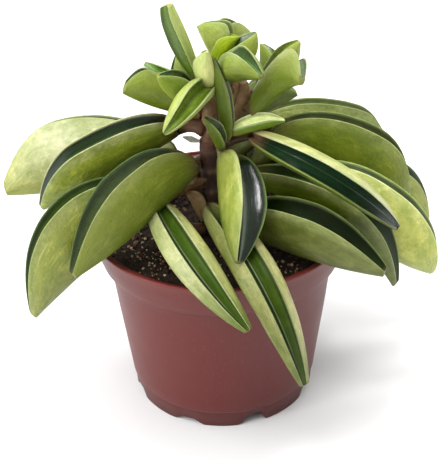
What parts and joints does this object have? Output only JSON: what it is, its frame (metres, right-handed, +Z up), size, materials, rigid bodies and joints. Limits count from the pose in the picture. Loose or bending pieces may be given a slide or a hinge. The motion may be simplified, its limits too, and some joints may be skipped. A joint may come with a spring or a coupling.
{
  "type": "potted peperomia",
  "caption": "Potted peperomia: folded, boat-shaped green leaves with pale rims on a short forked stem, growing from soil in a round plastic nursery pot with a collar and notched feet.",
  "frame": {"origin": "on the pot's axis, level with the bottom of the feet, which is also the centre of the bounding box's bottom face", "axes": "+Z up along the pot's axis, -Y the front of the plant, +X to the right seen from the front"},
  "size_m": [0.2046, 0.1546, 0.1959],
  "materials": {
    "pot_plastic": "satin terracotta-coloured plastic",
    "potting_soil": "dark crumbly peat with pale grit",
    "stem_bark": "dull brown, fleshy, with pale node scars",
    "leaf": "waxy, glossy in the groove, satin outside",
    "young_leaf": "waxy, bright green with pale rims",
    "dry_leaf": "papery, dry"
  },
  "bodies": {
    "root": {"pot": "pot_plastic", "soil": "potting_soil", "stem": "stem_bark", "leaf_left_middle": "leaf", "leaf_right_long": "leaf", "leaf_front_centre": "leaf", "leaf_front_hanging": "leaf", "leaf_front_left": "leaf", "leaf_left_upper": "leaf", "leaf_right_front": "leaf", "leaf_left_lower": "leaf", "leaf_right_inner": "leaf", "leaf_right_outer": "leaf", "leaf_right_upper": "leaf", "leaf_right_behind": "leaf", "leaf_right_far": "leaf", "leaf_left_back": "leaf", "leaf_middle_left": "young_leaf", "leaf_crown_front_right": "young_leaf", "leaf_side_large": "young_leaf", "leaf_crown_pale": "young_leaf", "leaf_middle_upright": "young_leaf", "leaf_middle_right": "young_leaf", "leaf_middle_small": "young_leaf", "leaf_crown_tall": "young_leaf", "leaf_crown_left_outer": "young_leaf", "leaf_crown_left_inner": "young_leaf", "leaf_crown_back_left": "young_leaf", "leaf_crown_left_back": "young_leaf", "leaf_crown_top_right": "young_leaf", "leaf_crown_bud": "young_leaf", "leaf_crown_top": "young_leaf", "leaf_crown_top_back": "young_leaf", "leaf_side_top": "young_leaf", "leaf_side_back": "young_leaf", "leaf_side_under": "young_leaf", "leaf_back_left": "leaf", "leaf_back_left_inner": "leaf", "leaf_back_upper_left": "leaf", "leaf_back_upper_right": "leaf", "leaf_back_right": "leaf", "leaf_back_right_low": "leaf", "leaf_back_left_low": "leaf", "withered_leaf": "dry_leaf"}
  },
  "joints": []
}
